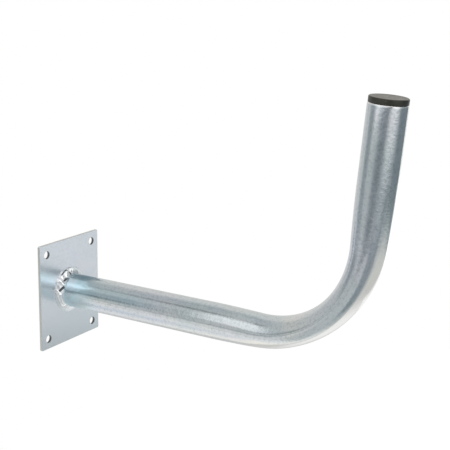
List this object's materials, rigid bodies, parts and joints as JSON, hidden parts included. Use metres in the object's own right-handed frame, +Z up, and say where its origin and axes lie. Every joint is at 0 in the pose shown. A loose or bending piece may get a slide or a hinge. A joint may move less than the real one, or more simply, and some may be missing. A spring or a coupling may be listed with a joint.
{
  "type": "satellite dish wall bracket",
  "caption": "Wall bracket for a satellite dish: fixing plate with corner screw holes, a welded steel tube bent up into a mast, and a push-in end cap.",
  "frame": {"origin": "centre of the fixing plate's back face, on the wall", "axes": "+X out of the wall along the arm, +Z up, Y across the plate; the mast leans 4.5 degrees out from +Z in the XZ plane"},
  "size_m": [0.3924, 0.1, 0.3061],
  "materials": {
    "plate_zinc": "satin bright zinc plating on sheared steel plate, faintly blue",
    "tube_zinc": "bright zinc plating on drawn tube, faint lengthwise draw lines",
    "weld_zinc": "rippled weld metal under bright zinc plating",
    "cap_plastic": "moulded black polyethylene, fine matt grain"
  },
  "bodies": {
    "bracket": {"wall_plate": "plate_zinc", "bent_tube": "tube_zinc", "weld_bead": "weld_zinc"},
    "cap": {"end_cap": "cap_plastic"}
  },
  "joints": [
    {"name": "end_cap_pull", "type": "slide", "parent": "bracket", "child": "cap", "axis": [0.0785, 0, 0.9969], "range_m": [0, 0.03]}
  ]
}
